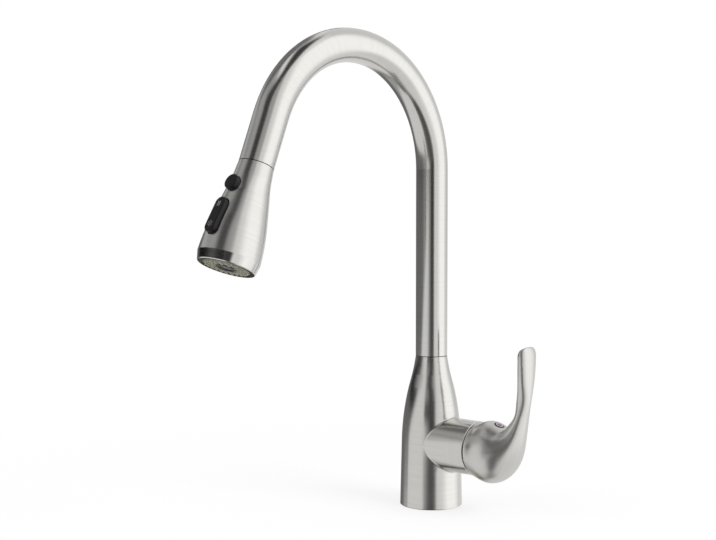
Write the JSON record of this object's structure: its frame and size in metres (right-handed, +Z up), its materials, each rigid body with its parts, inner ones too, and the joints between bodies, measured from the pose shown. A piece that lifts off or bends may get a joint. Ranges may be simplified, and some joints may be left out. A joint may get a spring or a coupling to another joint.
{
  "type": "kitchen faucet",
  "caption": "High-arc gooseneck kitchen faucet on a bottle-shaped body, with a docked pull-down spray head, thumb buttons and a side lever on a round boss.",
  "frame": {"origin": "on the deck plane at the axis of the body and shank", "axes": "+Z up along the body, -Y toward the spout's mouth, +X along the lever's boss"},
  "size_m": [0.1366, 0.2877, 0.5003],
  "materials": {
    "brushed_nickel": "brushed",
    "brass": "machined",
    "steel": "satin",
    "chrome": "polished",
    "rubber": "matte",
    "white_plastic": "moulded",
    "black_plastic": "satin",
    "face_plastic": "satin",
    "nozzle_rubber": "matte",
    "grey_plastic": "satin",
    "hose_braid": "braided",
    "index_mark": "gloss"
  },
  "bodies": {
    "faucet_body": {"body_shell": "brushed_nickel", "base_gasket": "rubber", "mounting_shank": "brass", "upper_bush": "black_plastic", "lower_bush": "white_plastic", "valve_block": "brass", "cartridge_sleeve": "white_plastic", "retaining_nut": "brass"},
    "deck_nut": {"rubber_washer": "rubber", "steel_washer": "steel", "mounting_nut": "brass", "nut_screws": "steel"},
    "spout": {"spout_tube": "brushed_nickel", "spout_adapter": "brass", "snap_ring": "steel", "spray_hose": "hose_braid", "hose_plug": "brass", "dock_bush": "black_plastic"},
    "hose_end": {"hose_tail": "hose_braid", "hose_fitting": "brass"},
    "spray_head": {"head_shell": "brushed_nickel", "head_core": "white_plastic", "swivel_retainer": "white_plastic", "swivel_washer": "rubber", "rocker_pin": "steel", "spray_plate": "face_plastic", "nozzle_pad": "nozzle_rubber", "aerator_housing": "grey_plastic", "aerator_screen": "steel", "spray_manifold": "white_plastic", "pause_spring": "steel"},
    "pause": {"pause_button": "black_plastic"},
    "rocker": {"mode_rocker": "black_plastic"},
    "diverter": {"diverter_spool": "white_plastic"},
    "valve_rotor": {"pivot_cap": "chrome", "fulcrum_pin": "steel"},
    "lever": {"handle": "brushed_nickel", "link_block": "brass", "set_screw": "steel", "index_plug": "index_mark"},
    "valve_stem": {"valve_spool": "steel", "spool_seals": "rubber", "link_pin": "steel"}
  },
  "joints": [
    {"name": "nut_unscrew", "type": "slide", "parent": "faucet_body", "child": "deck_nut", "axis": [0, 0, -1], "range_m": [0, 0.045]},
    {"name": "spout_swivel", "type": "hinge", "parent": "faucet_body", "child": "spout", "pos_m": [0, 0, 0], "axis": [0, 0, 1], "continuous": true},
    {"name": "spray_pull", "type": "slide", "parent": "spout", "child": "hose_end", "axis": [0, -0.3697, -0.9291], "range_m": [0, 0.2], "stiffness_N_per_m": 10, "springref_m": -0.8, "deforming": ["hose_tail"]},
    {"name": "spray_turn", "type": "hinge", "parent": "hose_end", "child": "spray_head", "pos_m": [0, -0.20811, 0.29629], "axis": [0, -0.3697, -0.9291], "continuous": true},
    {"name": "pause_press", "type": "slide", "parent": "spray_head", "child": "pause", "axis": [0, 0.8599, -0.5105], "range_m": [0, 0.0018], "stiffness_N_per_m": 800, "springref_m": -0.004, "deforming": ["pause_spring"]},
    {"name": "mode_rock", "type": "hinge", "parent": "spray_head", "child": "rocker", "pos_m": [0, -0.24182, 0.2548], "axis": [1, 0, 0], "range_deg": [-4, 4]},
    {"name": "diverter_shift", "type": "slide", "parent": "spray_head", "child": "diverter", "axis": [0, -0.3697, -0.9291], "range_m": [-0.001, 0.001]},
    {"name": "handle_turn", "type": "hinge", "parent": "faucet_body", "child": "valve_rotor", "pos_m": [0, 0, 0.0562], "axis": [1, 0, 0], "range_deg": [-45, 45]},
    {"name": "handle_lift", "type": "hinge", "parent": "valve_rotor", "child": "lever", "pos_m": [0.0573, 0, 0.04], "axis": [0, 1, 0], "range_deg": [0, 18]},
    {"name": "stem_pull", "type": "slide", "parent": "valve_rotor", "child": "valve_stem", "axis": [1, 0, 0], "range_m": [0, 0.0054]}
  ],
  "couplings": [
    {"joint": "diverter_shift", "follows": "mode_rock", "m_per_rad": -0.012533},
    {"joint": "stem_pull", "follows": "handle_lift", "m_per_rad": 0.017}
  ]
}
